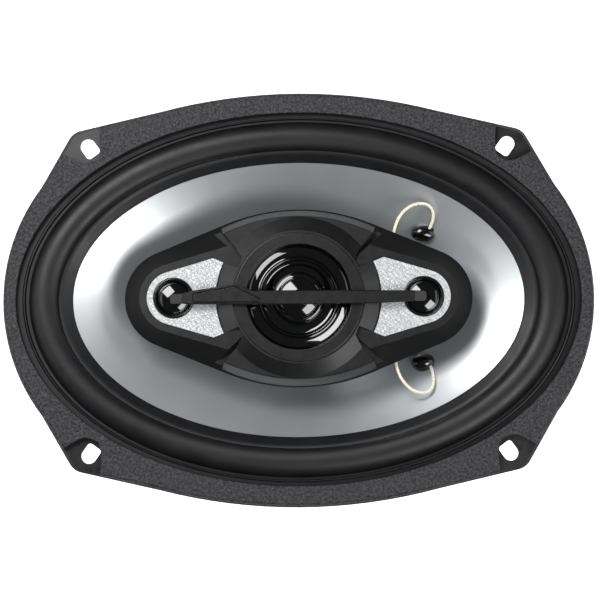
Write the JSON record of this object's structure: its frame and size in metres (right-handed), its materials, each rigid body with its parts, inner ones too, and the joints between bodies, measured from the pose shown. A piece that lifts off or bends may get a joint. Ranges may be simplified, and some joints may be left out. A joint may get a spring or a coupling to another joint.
{
  "type": "coaxial car speaker",
  "caption": "Oval flush-mount coaxial loudspeaker: windowed steel basket, ring magnet, silver cone in a rubber roll, and a post-mounted pod with small drivers and a cross bar.",
  "frame": {"origin": "centre of the four screw slots, on the rear mounting face of the flange", "axes": "+Z along the speaker's axis, out of the front; +X along the long side, towards the terminal board"},
  "size_m": [0.235, 0.165, 0.0992],
  "materials": {
    "basket_paint": "satin black paint on pressed steel",
    "gasket_foam": "leather-grained dark grey foam",
    "surround_rubber": "satin black butyl rubber",
    "spider_cloth": "woven cotton, resin treated",
    "plated_steel": "zinc plated",
    "ferrite": "sintered ferrite, dark grey",
    "rivet_steel": "plain steel",
    "board_phenolic": "paper phenolic",
    "brass_tab": "tinned brass",
    "screw_black": "black oxide",
    "pod_plastic": "satin black moulding",
    "bezel_plastic": "satin black moulding",
    "bar_plastic": "fine matt black moulding",
    "insert_silver": "silver with leather grain",
    "capacitor_sleeve": "shrink sleeve",
    "cone_silver": "metallised satin silver",
    "former_foil": "thin foil",
    "copper_wire": "enamelled copper",
    "lead_braid": "cotton braid over tinsel wire",
    "glue_black": "glossy black adhesive",
    "gloss_black": "high gloss black film",
    "ring_black": "gloss black moulding"
  },
  "bodies": {
    "chassis": {"basket": "basket_paint", "gasket": "gasket_foam", "surround": "surround_rubber", "spider": "spider_cloth", "top_plate": "plated_steel", "magnet": "ferrite", "yoke": "plated_steel", "plate_rivets": "rivet_steel", "terminal_board": "board_phenolic", "terminal_positive": "brass_tab", "terminal_negative": "brass_tab", "terminal_rivets": "brass_tab", "post_screw": "screw_black", "pod_base": "pod_plastic", "pod_housing": "pod_plastic", "pod_screws": "screw_black", "pod_terminals": "brass_tab", "centre_bezel": "bezel_plastic", "grille_bar": "bar_plastic", "bar_nameplate": "bar_plastic", "trim_insert_left": "insert_silver", "trim_insert_right": "insert_silver", "capacitor_left": "capacitor_sleeve", "capacitor_right": "capacitor_sleeve", "mid_frame": "ring_black", "mid_yoke": "plated_steel", "mid_magnet": "ferrite", "mid_pole_plate": "plated_steel", "mid_surround": "gloss_black", "tweeter_left_ring": "ring_black", "tweeter_left_yoke": "plated_steel", "tweeter_left_magnet": "ferrite", "tweeter_left_pole_plate": "plated_steel", "tweeter_left_surround": "gloss_black", "tweeter_right_ring": "ring_black", "tweeter_right_yoke": "plated_steel", "tweeter_right_magnet": "ferrite", "tweeter_right_pole_plate": "plated_steel", "tweeter_right_surround": "gloss_black"},
    "woofer_cone": {"cone": "cone_silver", "voice_coil_former": "former_foil", "voice_coil": "copper_wire", "lead_eyelets": "brass_tab", "lead_glue_upper": "glue_black", "lead_glue_lower": "glue_black", "flex_lead_upper": "lead_braid", "flex_lead_lower": "lead_braid"},
    "midrange": {"mid_diaphragm": "gloss_black", "mid_dust_cap": "gloss_black", "mid_voice_coil": "copper_wire"},
    "tweeter_left": {"tweeter_left_dome": "gloss_black", "tweeter_left_coil": "copper_wire"},
    "tweeter_right": {"tweeter_right_dome": "gloss_black", "tweeter_right_coil": "copper_wire"}
  },
  "joints": [
    {"name": "woofer_excursion", "type": "slide", "parent": "chassis", "child": "woofer_cone", "axis": [0, 0, 1], "range_m": [-0.004, 0.004], "stiffness_N_per_m": 2500, "deforming": ["surround", "spider", "flex_lead_upper", "flex_lead_lower"]},
    {"name": "midrange_excursion", "type": "slide", "parent": "chassis", "child": "midrange", "axis": [0, 0, 1], "range_m": [-0.0006, 0.0006], "stiffness_N_per_m": 1500, "deforming": ["mid_surround"]},
    {"name": "tweeter_left_excursion", "type": "slide", "parent": "chassis", "child": "tweeter_left", "axis": [0, 0, 1], "range_m": [-0.0002, 0.0002], "stiffness_N_per_m": 1500, "deforming": ["tweeter_left_surround"]},
    {"name": "tweeter_right_excursion", "type": "slide", "parent": "chassis", "child": "tweeter_right", "axis": [0, 0, 1], "range_m": [-0.0002, 0.0002], "stiffness_N_per_m": 1500, "deforming": ["tweeter_right_surround"]}
  ]
}
